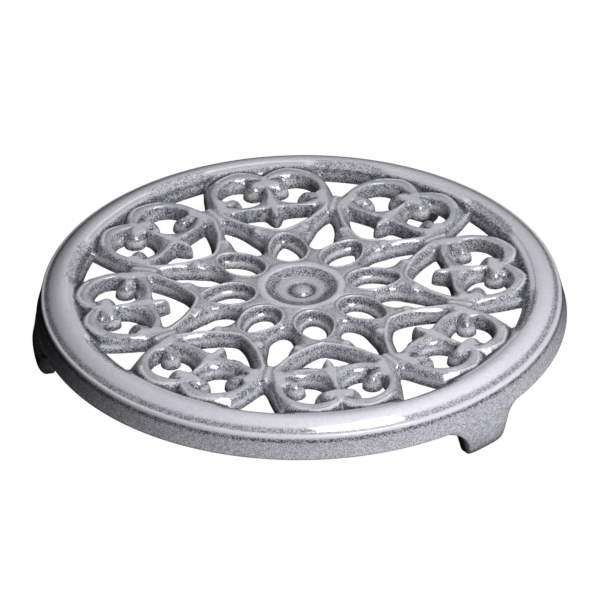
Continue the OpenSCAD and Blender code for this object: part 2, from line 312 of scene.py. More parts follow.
def bitten_circle(centre, radius, balls, step=0.6):
    """A circle with balls biting into it, as a closed run."""
    bites = []
    for ball, ball_r in balls:
        gap = hypot(ball[0] - centre[0], ball[1] - centre[1])
        towards = atan2(ball[1] - centre[1], ball[0] - centre[0]) % (2 * pi)
        half = acos((radius ** 2 + gap ** 2 - ball_r ** 2) / (2 * radius * gap))
        ball_half = acos((ball_r ** 2 + gap ** 2 - radius ** 2) / (2 * ball_r * gap))
        bites.append((towards, half, ball, ball_r, ball_half))
    bites.sort()
    run = []
    for i, (towards, half, ball, ball_r, ball_half) in enumerate(bites):
        back = towards + pi
        run += arc_points(ball, ball_r, back + ball_half, back - ball_half, step)
        following, next_half = bites[(i + 1) % len(bites)][:2]
        if i + 1 == len(bites):
            following += 2 * pi
        run += arc_points(centre, radius, towards + half, following - next_half, step)[1:-1]
    return np.array(run)


def egg_curve(gap=0.0, count=44):
    """The loop's egg-shaped opening, drawn outwards by gap."""
    t = np.linspace(0, 2 * pi, count, endpoint=False)
    start, end = LOOP_OPENING["start"] - gap, LOOP_OPENING["end"] + gap
    across = (LOOP_OPENING["half_width"] + gap) * np.sin(t)
    return np.stack([across * (0.955 + LOOP_OPENING["egg"] * np.cos(t) - 0.15 * np.cos(t) ** 2),
                     start + (end - start) * (1 - np.cos(t)) / 2], 1)


def to_sector(run):
    """From the frame of the line between two sectors to the sector's own frame."""
    x, y = np.array(run).T
    return np.stack([y * sin(HALF) - x * cos(HALF), y * cos(HALF) + x * sin(HALF)], 1)


def corner_outline(opening_r):
    """Half of the three-cornered opening beside the rim."""
    edge = atan2(*CORNER[-1])
    return CORNER + [(opening_r * sin(a), opening_r * cos(a))
                     for a in np.linspace(edge * 0.93, 0, 4)]


def fold(x, y):
    """Any point of the plan as its twin in the half sector beside +Y, with its radius."""
    r = np.hypot(x, y)
    a = np.abs((np.arctan2(x, y) + HALF) % (2 * HALF) - HALF)
    return r * np.sin(a), r * np.cos(a), r


def rim_top(r):
    """The crowned band's height above the crests."""
    return CROWN_RISE - np.where(r < CROWN_R, CROWN_FALL_IN, CROWN_FALL_OUT) * (r - CROWN_R) ** 2


# The relief

class Relief:
    """The casting's upper surface as heights above the crests, kept on a fine grid."""
    STEP = 0.25
    LOW = (-3.0, -2.0)
    HIGH = (44.0, 104.0)

    def __init__(self, sizes):
        self.plate = sizes.plate / MM
        self.opening_r = sizes.opening_r / MM
        self.curves = {
            "loop": egg_curve(),
            "chamber": bitten_circle(*CHAMBER, CHAMBER_BALLS),
            "smile": smooth_curve(mirrored(SMILE)),
            "leaf": to_sector(smooth_curve(mirrored(LEAF))),
            "corner": to_sector(smooth_curve(mirrored(corner_outline(self.opening_r)))),
        }
        across = np.arange(self.LOW[0], self.HIGH[0], self.STEP)
        along = np.arange(self.LOW[1], self.HIGH[1], self.STEP)
        x, y = np.meshgrid(across, along)
        u, v, r = fold(x, y)
        raw = self.raw_height(u, v, r)
        soft = sizes.softness / MM / self.STEP
        self.z = self.blurred(raw, soft)
        self.slope_y, self.slope_x = np.gradient(self.z, self.STEP)
        # A hollow lies lower than the surface round it
        hollow = self.blurred(self.z, 1.2 / self.STEP) - self.z
        away, from_light = self.from_crests(u, v, r, signed_distance(self.curves["loop"], u, v))
        shade, grain = self.marks(-self.z, away, from_light, hollow)
        # Painted shade darkens the valley beside the rim and thickens its grain
        valley_shade = smooth_step(r, 93.5, 96.5) * smooth_step(from_light, 0.3, 2.5)
        shade, grain = shade + 0.35 * valley_shade, grain + 0.35 * valley_shade
        radius, _, ring_shade, ring_grain = np.array(MEDALLION).T
        inner = r < radius[-1]
        self.shade = self.blurred(np.where(inner, np.interp(r, radius, ring_shade), shade), 0.8)
        self.grain = self.blurred(np.where(inner, np.interp(r, radius, ring_grain), grain), 0.8)

    @staticmethod
    def marks(below, away, from_light, hollow):
        """How dark the enamel shows and how thick its grain, least of all on a light line; part of
        the darkness is painted shade, and a negative darkness is a painted pale reflection.
        """
        # Painted shade: the hollows and the openings' lower edges darken, and their grain thickens
        # towards near-black
        hollow = smooth_step(hollow, 0.03, 0.35)
        edge = smooth_step(below, 5.7, 6.4)
        beside = np.exp(-((away - 0.6) / 0.45) ** 2)
        upper = 1 - smooth_step(below, 2.2, 3.2)
        # The upper slopes darken partly by the enamel's own tone and partly by painted shade; the
        # lower walls get a painted pale reflection of the lit table
        shade = (0.3 * smooth_step(from_light, 0.1, 1.2) + 0.3 * beside + edge
                 + 0.42 * smooth_step(below, 0.4, 2.2) * upper - 0.3 * (1 - upper) * (1 - edge))
        slope = smooth_step(below, 0.2, 0.9) * upper
        grain = (0.08 + 0.12 * smooth_step(from_light, 0.2, 1.2) + 0.3 * beside
                 + 0.1 * smooth_step(away, 0.1, 1.5) + 0.55 * slope + 1.3 * edge)
        return np.clip(shade + 0.55 * hollow, -1, 1), np.clip(grain + 0.6 * hollow, 0, 2)

    @staticmethod
    def blurred(grid, sigma):
        """A grid blurred by a bell curve of so many cells."""
        reach = int(3 * sigma + 1)
        bell = np.exp(-0.5 * (np.arange(-reach, reach + 1) / sigma) ** 2)
        bell /= bell.sum()
        for axis in (0, 1):
            wide = [(0, 0), (0, 0)]
            wide[axis] = (reach, reach)
            padded = np.pad(grid, wide, mode="edge")
            size = grid.shape[axis]
            grid = sum(w * np.take(padded, np.arange(i, i + size), axis=axis)
                       for i, w in enumerate(bell))
        return grid

    def openings(self, u, v):
        """Distance of each point from each kind of opening, negative inside it."""
        return {name: signed_distance(curve, u, v) for name, curve in self.curves.items()}

    def clearance(self, x, y):
        """Distance of each point from the nearest opening."""
        u, v, _ = fold(x, y)
        return np.minimum.reduce(list(self.openings(u, v).values()))

    def raw_height(self, u, v, r):
        """Heights from the outlines, before the glaze softens them."""
        d = self.openings(u, v)
        corner = d.pop("corner")
        others = np.minimum.reduce(list(d.values()))
        nearest = np.minimum(others, corner)
        lobes = np.concatenate([smooth_curve(LOBE_CREST, closed=False), [[0, 66.5]]])
        beyond = ~is_inside(lobes, u, v) & (v > 60)
        beyond = beyond * curve_distance(LOBE_CREST, u, v) * np.clip((r - 76) / 8, 0, 1)
        away = self.from_crests(u, v, r, d["loop"])[0]
        by_rim = np.minimum(np.interp(corner, *np.array(RIM_WALL).T), self.domed(away, others, 0))
        near_rim = np.clip((r - 93.5) / 1.2, 0, 1)
        flank = self.domed(away, nearest, d["loop"] < LOOP_CREST)
        z = by_rim * near_rim + flank * (1 - near_rim)
        for deep, wide, line in GROOVES:
            z = z - deep * np.exp(-(curve_distance(line, u, v) / wide) ** 2) * (nearest > 0)
        groove = np.exp(-((d["loop"] - LOOP_GROOVE) / 0.6) ** 2) * smooth_step(44 - v, 0, 4)
        z = z - LOOP_GROOVE_DEPTH * groove
        slope = -LOBE_FALL * beyond
        band = rim_top(r) - 3 * np.clip(self.opening_r - 0.5 - r, 0, 9)
        z = np.minimum(z, np.where(r > 93, smooth_max(slope, band, 0.5), slope))
        radius, level = np.array(MEDALLION).T[:2]
        z = np.where(r < radius[-1], np.interp(r, radius, level), z)
        return np.maximum(z, -self.plate)

    def domed(self, away, open_gap, ledge):
        """The height of a flank: an arc that leaves the crest at a slope and ends upright, or,
        where there is a ledge, a bevel first and then an arc."""
        width = np.maximum(away + np.maximum(open_gap, 0), 1e-9)
        start = np.clip(-np.cos(2 * np.arctan2(self.plate, width)), 0, MAX_START) * (1 - ledge)
        part = away / width
        turned = start + (1 - start) * part
        arc = 1 - np.sqrt(np.maximum(1 - turned ** 2, 0) / (1 - start ** 2))
        bevel = BEVEL_SHARE * ledge
        return -self.plate * ((1 - bevel) * arc + bevel * smooth_step(part, 0.02, 0.4))

    @staticmethod
    def from_crests(u, v, r, from_loop):
        """Distance of each point from the nearest crest, and from the nearest light line."""
        light = [np.abs(from_loop - LOOP_CREST) - 0.1]
        light += [np.abs(r - radius) - reach for radius, reach in RING_CRESTS]
        light += [curve_distance(line, u, v) - reach for reach, line in LIGHT_LINES]
        flat = [line_distance(np.array([start, stop]), u, v, False) - reach
                for start, stop, reach in PLATEAUS]
        broad = [curve_distance(line, u, v) - reach for reach, line in BROAD_LINES]
        away = np.maximum(np.minimum.reduce(light + flat + broad), 0)
        soft = [(gap + 1) * 0.5 for gap in flat]
        return away, np.maximum(np.minimum.reduce(light + soft), 0)

    def sample(self, grid, u, v):
        """A grid read between its cells."""
        i = np.clip((v - self.LOW[1]) / self.STEP, 0, grid.shape[0] - 1.001)
        j = np.clip((u - self.LOW[0]) / self.STEP, 0, grid.shape[1] - 1.001)
        a, b = i.astype(int), j.astype(int)
        s, t = i - a, j - b
        low = grid[a, b] * (1 - t) + grid[a, b + 1] * t
        high = grid[a + 1, b] * (1 - t) + grid[a + 1, b + 1] * t
        return low * (1 - s) + high * s

    def height(self, x, y):
        """The finished surface: sharp at an opening's edge and softened away from it."""
        u, v, r = fold(x, y)
        near = self.clearance(x, y)
        soft = self.sample(self.z, u, v)
        sharp = self.raw_height(u, v, r)
        mix = smooth_step(near, 0.4, 1.0)
        return np.where(near < ON_EDGE, -self.plate, sharp * (1 - mix) + soft * mix)

    def marks_at(self, x, y):
        """The darkness and the grain read at any point of the plan."""
        u, v, _ = fold(x, y)
        return self.sample(self.shade, u, v), self.sample(self.grain, u, v)

    def normals(self, x, y):
        """Unit normals of the upper surface at any point of the plan."""
        u, v, _ = fold(x, y)
        across, along = self.sample(self.slope_x, u, v), self.sample(self.slope_y, u, v)
        a = np.arctan2(x, y)
        turn = np.round(a / (2 * HALF)) * 2 * HALF
        across = np.where(a < turn, -across, across)
        n = np.stack([-(across * np.cos(turn) + along * np.sin(turn)),
                      -(along * np.cos(turn) - across * np.sin(turn)),
                      np.ones_like(across)], -1)
        return n / np.linalg.norm(n, axis=-1, keepdims=True)


@lru_cache(maxsize=1)
def relief():
    """The relief of the trivet being built."""
    return Relief(bpy.context.scene.trivet_sizes)


# Meshes

def arc_run(radius, count):
    """One sector's arc at a radius, in count steps."""
    a = np.linspace(-HALF, HALF, count + 1)
    return np.stack([radius * np.sin(a), radius * np.cos(a)], 1)


def stepped(start, stop, step):
    """Points from start to stop, close together near an opening's edge at either end."""
    count = max(2, int(round((stop - start) / step)))
    even = np.linspace(start, stop, count + 1)
    close = np.array(BORDER_ROWS[:2])
    inner = even[(even > start + 0.7) & (even < stop - 0.7)]
    return np.unique(np.concatenate([[start, stop], start + close, stop - close, inner]))


def doubled_area(plan, tris):
    """Twice the area of each triangle of the plan, negative where it faces down."""
    a, b, c = plan[tris].transpose(1, 2, 0)
    return (b[0] - a[0]) * (c[1] - a[1]) - (b[1] - a[1]) * (c[0] - a[0])


def facing(plan, tris, sign):
    """Triangles of the plan that all face up for a sign of 1, or all down for -1."""
    wrong = doubled_area(plan, tris) * sign < 0
    return np.where(wrong[:, None], tris[:, ::-1], tris)


def without_needles(plan, tris):
    """Drops the needle triangles that lie along a straight border."""
    a, b, c = plan[tris].transpose(1, 0, 2)
    longest = np.maximum.reduce([((p - q) ** 2).sum(1) for p, q in ((a, b), (b, c), (c, a))])
    return tris[np.abs(doubled_area(plan, tris)) > 1e-4 * longest]


@lru_cache(maxsize=1)
def sector_plan():
    """One sector's plan cut into small triangles: points, triangles and heights in millimetres."""
    sizes = bpy.context.scene.trivet_sizes
    surface = relief()
    r0, r1, r2 = sizes.medallion_r / MM, sizes.split_r / MM, sizes.scroll_r / MM
    step = sizes.surface_step / MM
    points, edges = [], []

    def add(run, closed=False, joined=True):
        """Adds points to the plan, and the edges between them where they are joined."""
        first = len(points)
        points.extend(run)
        count = len(run)
        if joined:
            edges.extend((first + i, first + (i + 1) % count)
                         for i in range(count if closed else count - 1))

    for radius, name in ((r0, "medallion"), (r1, "split"), (r2, "scroll")):
        add(arc_run(radius, ARC_STEPS[name]))
    curves = surface.curves
    rows = [curves["loop"], curves["smile"], curves["chamber"], curves["chamber"] * (-1, 1)]
    for run in rows:
        add(run, closed=True)
    # The leaf and the corner lie half in the next sector
    for name, half in (("leaf", LEAF), ("corner", corner_outline(surface.opening_r))):
        run = curves[name][:(len(half) - 1) * CURVE_STEPS + 1]
        rows.append(curves[name])
        add(run)
        add(run * (-1, 1))
    # Rows on both sides of each border, clear of the seams and of the next sector
    for i, run in enumerate(rows):
        along = np.roll(run, -1, axis=0) - np.roll(run, 1, axis=0)
        outward = np.stack([along[:, 1], -along[:, 0]], 1)
        outward /= np.linalg.norm(outward, axis=1, keepdims=True)
        for gap, sign in [(gap, sign) for gap in BORDER_ROWS for sign in (1, -1)]:
            ring = run + outward * gap * sign
            r, a = np.hypot(*ring.T), np.abs(np.arctan2(*ring.T))
            keep = (surface.clearance(*ring.T) > gap * 0.92) & (a < HALF - gap * 0.3 / r)
            keep &= (r > r0 + 0.3) & (r < r2 - 0.2) & (np.abs(r - r1) > 0.12)
            add(ring[keep], joined=False)
            # The first two are their own mirror images
            if i > 1:
                add(ring[keep] * (-1, 1), joined=False)
    spans = [(r0, LEAF[0][1]), (LEAF[-1][1], CORNER[0][1]), (surface.opening_r, r2)]
    for start, stop in spans:
        for sign in (-1, 1):
            along = stepped(start, stop, step)[1:-1]
            add(np.stack([sign * along * sin(HALF), along * cos(HALF)], 1), joined=False)
    # Everywhere else the points stand in even triangles
    for i, y in enumerate(np.arange(0, r2, step * cos(pi / 6))):
        x = np.arange(-45, 45, step) + (i % 2) * step / 2
        y = np.full_like(x, y)
        r, a = np.hypot(x, y), np.abs(np.arctan2(x, y))
        keep = (r > r0 + 0.35) & (r < r2 - 0.35) & (np.abs(r - r1) > 0.3) & ((HALF - a) * r > 0.35)
        x, y = x[keep], y[keep]
        if len(x):
            keep = surface.clearance(x, y) > 1.1
            add(np.stack([x[keep], y[keep]], 1), joined=False)
    flat = delaunay_2d_cdt([Vector(p) for p in points], edges, [], 0, 1e-5)
    plan = np.array([tuple(p) for p in flat[0]])
    tris = without_needles(plan, np.array([f for f in flat[2] if len(f) == 3]))
    middle = plan[tris].mean(1)
    # The arc's straight steps lie a little inside it
    sag = (2 * HALF / ARC_STEPS["medallion"]) ** 2 / 6
    keep = (surface.clearance(*middle.T) > 0) & (np.hypot(*middle.T) > r0 * (1 - sag))
    return plan, tris[keep], surface.height(*plan.T)


def plate_part(low, high):
    """The part of a sector's plate between two radii, closed below, open between sectors."""
    plan, tris, height = sector_plan()
    surface = relief()
    mid_r = np.hypot(*plan[tris].mean(1).T)
    tris = tris[(mid_r > low - 1e-3) & (mid_r < high - 1e-3)]
    used, index = np.unique(tris, return_inverse=True)
    plan, height = plan[used], height[used]
    tris = facing(plan, index.reshape(-1, 3), 1)
    sides = np.concatenate([tris[:, [0, 1]], tris[:, [1, 2]], tris[:, [2, 0]]])
    both = {tuple(s) for s in sides}
    border = [s for s in both if (s[1], s[0]) not in both]
    rim_points = sorted({p for s in border for p in s})
    number = {p: i for i, p in enumerate(rim_points)}
    flat = delaunay_2d_cdt([Vector(plan[p]) for p in rim_points],
                           [(number[p], number[q]) for p, q in border], [], 0, 1e-6)
    outline = plan[rim_points]
    floor = facing(outline, without_needles(outline, np.array(flat[2])), -1)
    middle = outline[floor].mean(1)
    mid_r = np.hypot(*middle.T)
    floor = floor[(surface.clearance(*middle.T) > 0) & (mid_r > low - 1e-3) & (mid_r < high)]
    top = [(x, y, z) for (x, y), z in zip(plan, height)]
    under = -surface.plate
    below = {}
    for p in rim_points:
        if height[p] > under + 1e-6:
            below[p] = len(top)
            top.append((plan[p][0], plan[p][1], under))
        else:
            below[p] = p
    faces = [tuple(t) for t in tris]
    faces += [tuple(below[rim_points[i]] for i in tri) for tri in floor]
    for p, q in border:
        # The sides that meet the next sector stay open
        if min(abs(atan2(*plan[i])) for i in (p, q)) > HALF - 1e-5:
            continue
        ring = [q, p, below[p], below[q]]
        ring = [i for n, i in enumerate(ring) if i != ring[n - 1]]
        if len(ring) > 2:
            faces.append(tuple(ring))
    return np.array(top), faces


def raised(run, z):
    """Points of the plan with a height, one for all or one for each."""
    return np.column_stack([run, np.broadcast_to(z, len(run))])


def polar_part(rings, count):
    """A sector of a turned shape: rings of count + 1 points each, joined to the next ring."""
    points = np.concatenate(rings)
    width = count + 1
    faces = []
    for i in range(len(rings) - 1):
        for j in range(count):
            a, b = i * width + j, i * width + j + 1
            faces.append((a, b, b + width, a + width))
    return points, faces


def make_mesh(name, points, faces):
    """A mesh in metres from points in millimetres above the crests."""
    mesh = bpy.data.meshes.new(name)
    mesh.from_pydata((np.array(points) * MM + (0, 0, CREST)).tolist(), [], faces)
    mesh.update()
    return mesh


def link_object(name, mesh):
    """A new object at the origin that shows a mesh."""
    piece = bpy.data.objects.new(name, mesh)
    bpy.context.scene.collection.objects.link(piece)
    return piece


# Nodes

class Socket:
    """A node's output that can be reckoned with."""

    def __init__(self, tree, socket):
        self.tree, self.socket = tree, socket

    def _maths(self, operation, *values):
        node = self.tree.nodes.new("ShaderNodeMath")
        node.operation = operation
        for i, value in enumerate(values):
            if isinstance(value, Socket):
                self.tree.links.new(value.socket, node.inputs[i])
            else:
                node.inputs[i].default_value = value
        return Socket(self.tree, node.outputs[0])

    def __add__(self, other):
        return self._maths("ADD", self, other)

    __radd__ = __add__

    def __mul__(self, other):
        return self._maths("MULTIPLY", self, other)

    __rmul__ = __mul__

    def __sub__(self, other):
        return self._maths("SUBTRACT", self, other)

    def __rsub__(self, other):
        return self._maths("SUBTRACT", other, self)

    def __truediv__(self, other):
        return self._maths("DIVIDE", self, other)

    def __rtruediv__(self, other):
        return self._maths("DIVIDE", other, self)

    def clamp(self):
        """Kept between 0 and 1."""
        return self._maths("MINIMUM", self._maths("MAXIMUM", self, 0.0), 1.0)

    def step(self, low, high):
        """0 below low, 1 above high and straight between them."""
        return ((self - low) / (high - low)).clamp()


def add_node(tree, kind, values=None, output=0, **settings):
    """A node of a kind, with the values or links of its sockets and its settings: one output."""
    made = tree.nodes.new(kind)
    for key, value in settings.items():
        setattr(made, key, value)
    for key, value in (values or {}).items():
        if isinstance(value, Socket):
            tree.links.new(value.socket, made.inputs[key])
        else:
            made.inputs[key].default_value = value
    return Socket(tree, made.outputs[output]) if made.outputs else None


def round_axis_tree():
    """A node tree that repeats a part round the axis and welds the copies."""
    tree = bpy.data.node_groups.new("Round the axis", "GeometryNodeTree")
    face = tree.interface
    face.new_socket("Geometry", in_out="INPUT", socket_type="NodeSocketGeometry")
    face.new_socket("Count", in_out="INPUT", socket_type="NodeSocketInt")
    face.new_socket("First Angle", in_out="INPUT", socket_type="NodeSocketFloat")
    face.new_socket("Weld Distance", in_out="INPUT", socket_type="NodeSocketFloat")
    face.new_socket("Finish", in_out="INPUT", socket_type="NodeSocketMaterial")
    face.new_socket("Geometry", in_out="OUTPUT", socket_type="NodeSocketGeometry")

    given = tree.nodes.new("NodeGroupInput").outputs
    part, count, first_angle, weld, finish = [Socket(tree, given[i]) for i in range(5)]
    angle = add_node(tree, "GeometryNodeInputIndex") * (2 * pi / count) + first_angle
    turn = add_node(tree, "ShaderNodeCombineXYZ", {"Z": angle})
    rotation = add_node(tree, "FunctionNodeEulerToRotation", {0: turn})
    places = add_node(tree, "GeometryNodePoints", {"Count": count})
    copies = add_node(tree, "GeometryNodeInstanceOnPoints",
                      {"Points": places, "Instance": part, "Rotation": rotation})
    real = add_node(tree, "GeometryNodeRealizeInstances", {0: copies})
    welded = add_node(tree, "GeometryNodeMergeByDistance", {0: real, "Distance": weld})
    finished = add_node(tree, "GeometryNodeSetMaterial", {0: welded, "Material": finish})
    add_node(tree, "NodeGroupOutput", {0: finished})
    return tree


def set_out(name, mesh, count, first_angle, finish):
    """A plain mesh object of a part repeated round the axis."""
    source = link_object(name + "_part", mesh)
    tree = bpy.data.node_groups.get("Round the axis") or round_axis_tree()
    modifier = source.modifiers.new("Round the axis", "NODES")
    modifier.node_group = tree
    values = {"Count": count, "First Angle": first_angle, "Weld Distance": 2e-6, "Finish": finish}
    for item in tree.interface.items_tree:
        if item.in_out == "INPUT" and item.name in values:
            modifier[item.identifier] = values[item.name]
    graph = bpy.context.evaluated_depsgraph_get()
    mesh = bpy.data.meshes.new_from_object(source.evaluated_get(graph), depsgraph=graph)
    source.modifiers.remove(modifier)
    bpy.data.objects.remove(source)
    mesh.name = name
    return link_object(name, mesh)


def read_values(items, name, width=1, kind=float):
    """One value, or a row of width values, from each of a mesh's items."""
    values = np.zeros(len(items) * width, kind)
    items.foreach_get(name, values)
    return values.reshape(-1, width) if width > 1 else values


def smooth_faces(mesh):
    """Shades every face of a mesh smooth."""
    mesh.polygons.foreach_set("use_smooth", np.ones(len(mesh.polygons), bool))


def dress(piece, top_reach):
    """Shades a piece by the relief where it is upper surface and within top_reach of the axis."""
    mesh = piece.data
    co = read_values(mesh.vertices, "co", 3) / MM - (0, 0, CREST / MM)
    own = read_values(mesh.vertex_normals, "vector", 3)
    # The sectors are turned from +Y to +X, so the relief is read a quarter turn on
    x, y = -co[:, 1], co[:, 0]
    n = relief().normals(x, y)
    n = np.stack([n[:, 1], -n[:, 0], n[:, 2]], 1)
    r = np.hypot(x, y)
    upper = (r < top_reach) & (co[:, 2] > -relief().plate + 1e-3)
    vertex = np.where(upper[:, None], n, own)
    corner = read_values(mesh.loops, "vertex_index", kind=int)
    normals = vertex[corner]
    face_n = np.repeat(read_values(mesh.polygons, "normal", 3),
                       read_values(mesh.polygons, "loop_total", kind=int), axis=0)
    edge_vertex = (r[corner] < top_reach) & ~upper[corner] & (face_n[:, 2] > -0.9)
    steep = n[corner] * (1, 1, 0.25)
    steep /= np.linalg.norm(steep, axis=1, keepdims=True)
    normals[edge_vertex] = steep[edge_vertex]
    flat = face_n[:, 2] < -0.999
    normals[flat] = face_n[flat]
    wall = (np.abs(face_n[:, 2]) < 1e-3) & (r[corner] < top_reach)
    normals[wall] = face_n[wall]
    smooth_faces(mesh)
    mesh.normals_split_custom_set(normals.tolist())
    return co, x, y


def add_marks(piece, shade, grain):
    """Keeps how dark the enamel shows, painted shade and painted reflection included, and how thick
    its grain as values on each point.
    """
    for name, values in (("shade", shade), ("grain", grain)):
        layer = piece.data.attributes.new(name, "FLOAT", "POINT")
        layer.data.foreach_set("value", np.asarray(values, np.float32))


# Materials

def rgba(colour):
    """A colour with full alpha."""
    return (*colour, 1.0)


def blend(tree, factor, a, b):
    """One colour into another."""
    return add_node(tree, "ShaderNodeMix", {0: factor, 6: a, 7: b}, 2, data_type="RGBA")


def enamel(name):
    """Glossy speckled enamel that thins to a pale coat on the crests, and carries painted shade and a
    painted pale reflection.
    """
    made = bpy.data.materials.get(name)
    if made:
        return made
    made = bpy.data.materials.new(name)
    made.use_nodes = True
    tree = made.node_tree
    tree.nodes.clear()
    colours = bpy.context.scene.trivet_colours
    place = add_node(tree, "ShaderNodeTexCoord", output=3)
    shade = add_node(tree, "ShaderNodeAttribute", output=2, attribute_name="shade")
    grain = add_node(tree, "ShaderNodeAttribute", output=2, attribute_name="grain")
    scale = 1 / colours.speck_size
    speck = add_node(tree, "ShaderNodeTexVoronoi", {"Vector": place, "Scale": scale}, 1)
    cloud = add_node(tree, "ShaderNodeTexNoise",
                     {"Vector": place, "Scale": scale / 6, "Detail": 3.0, "Roughness": 0.6})
    dark = shade + (cloud - 0.5) * 0.25
    base = blend(tree, dark.clamp(), rgba(colours.crest), rgba(colours.slope))
    # Below zero the darkness turns into the painted pale reflection of the lit table on the lower
    # walls
    base = blend(tree, (dark * -1).clamp(), base, rgba(colours.pool))
    # Thick grain runs together into a dark ground, most of all in the painted shade at the openings'
    # lower edges and in the hollows
    thick = grain * (0.85 + cloud * 0.3)
    dots = (thick * speck.step(0.32, 0.66) * 1.08 + (thick - 1.1).clamp()).clamp() * 0.94
    colour = blend(tree, dots, base, rgba(colours.speck))
    bump = add_node(tree, "ShaderNodeBump", {"Height": cloud, "Strength": 0.3, "Distance": 0.4 * MM})
    # A soft base under a clear, sharp glaze
    surface = add_node(tree, "ShaderNodeBsdfPrincipled", {
        "Base Color": colour, "Roughness": 0.4 + cloud * 0.1, "Normal": bump, "IOR": 1.5,
        "Coat Weight": 1.0, "Coat Roughness": 0.04})
    add_node(tree, "ShaderNodeOutputMaterial", {"Surface": surface})
    return made


# The pieces

def turn_outwards(mesh, shortest=0.0):
    """Turns every face of a closed mesh outwards, once the edges that shrank to nothing are gone."""
    bm = bmesh.new()
    bm.from_mesh(mesh)
    if shortest:
        bmesh.ops.dissolve_degenerate(bm, dist=shortest, edges=bm.edges)
    bmesh.ops.recalc_face_normals(bm, faces=bm.faces)
    bm.to_mesh(mesh)
    bm.free()


def settle(piece, nodes):
    """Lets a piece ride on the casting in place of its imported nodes."""
    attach(piece, "root")
    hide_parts(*nodes)


def build_openwork(name, family, low, high):
    """All of the plate's openwork between two radii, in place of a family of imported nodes."""
    part = make_mesh(family, *plate_part(low / MM, high / MM))
    piece = set_out(name, part, SECTORS, FIRST_ANGLE, enamel("Enamel"))
    _, x, y = dress(piece, high / MM + 1)
    add_marks(piece, *relief().marks_at(x, y))
    settle(piece, [f"{family}_{k}" for k in range(1, SECTORS + 1)])


class TRIVET_OT_heart_scrolls(bpy.types.Operator):
    """Build the eight heart scrolls"""
    bl_idname = "trivet.heart_scrolls"
    bl_label = "Heart scrolls"

    def execute(self, context):
        sizes = context.scene.trivet_sizes
        build_openwork("heart_scrolls", "heart_scroll", sizes.split_r, sizes.scroll_r)
        return {"FINISHED"}


class TRIVET_OT_loops(bpy.types.Operator):
    """Build the eight loops and the web between them"""
    bl_idname = "trivet.loops"
    bl_label = "Loops"

    def execute(self, context):
        sizes = context.scene.trivet_sizes
        build_openwork("loops", "loop", sizes.medallion_r, sizes.split_r)
        return {"FINISHED"}


class TRIVET_OT_medallion(bpy.types.Operator):
    """Build the centre medallion"""
    bl_idname = "trivet.medallion"
    bl_label = "Centre medallion"

    def execute(self, context):
        sizes = context.scene.trivet_sizes
        surface = relief()
        count = ARC_STEPS["medallion"]
        rings = []
        for r in np.linspace(0, sizes.medallion_r / MM, 50)[:-1]:
            run = arc_run(r, count)
            rings.append(raised(run, surface.sample(surface.z, *fold(*run.T)[:2])))
        edge = arc_run(sizes.medallion_r / MM, count)
        rings.append(raised(edge, surface.height(*edge.T)))
        rings += [raised(edge, -surface.plate), raised(edge * 0, -surface.plate)]
        part = make_mesh("medallion", *polar_part(rings, count))
        piece = set_out("centre_medallion_disc", part, SECTORS, FIRST_ANGLE, enamel("Enamel"))
        turn_outwards(piece.data, shortest=1e-7)
        _, x, y = dress(piece, sizes.medallion_r / MM + 1)
        add_marks(piece, *surface.marks_at(x, y))
        settle(piece, ["centre_medallion"])
        return {"FINISHED"}


class TRIVET_OT_rim(bpy.types.Operator):
    """Build the crowned rim and its skirt"""
    bl_idname = "trivet.rim"
    bl_label = "Rim"

    def execute(self, context):
        sizes = context.scene.trivet_sizes
        surface = relief()
        count = ARC_STEPS["scroll"]
        seam = sizes.scroll_r / MM
        rings = []
        for r in np.linspace(seam, RIM_SECTION[0][0], 10)[:-1]:
            run = arc_run(r, count)
            rings.append(raised(run, surface.height(*run.T)))
        for r, z in smooth_curve(RIM_SECTION, closed=False, steps=2):
            rings.append(raised(arc_run(r, count), z))
        rings.append(rings[0])
        part = make_mesh("rim", *polar_part(rings, count))
        piece = set_out("rim_band", part, SECTORS, FIRST_ANGLE, enamel("Enamel"))
        co, x, y = dress(piece, RIM_SECTION[0][0] - 0.01)
        r = np.hypot(x, y)
        depth = -co[:, 2]
        # The grain is thick on the way down to the bead, and in a line on the skirt below it, where
        # painted shade under the bead darkens it too
        below_bead = smooth_step(depth, 3.9, 5.0)
        line = np.exp(-((depth - 5.2) / 0.75) ** 2)
        grain = 0.1 + 0.6 * smooth_step(r, 108.2, 109.8) * (1 - smooth_step(r, 110.6, 111.4))
        grain = np.where(depth > 3.3, 0.5 * below_bead + 0.7 * line, grain)
        shade = np.where(depth > 3.3, 0.25 * below_bead + 0.5 * line, 0.7 * grain)
        inner = surface.marks_at(x, y)
        add_marks(piece, np.where(r < 102, inner[0], shade), np.where(r < 102, inner[1], grain))
        settle(piece, ["rim"])
        return {"FINISHED"}


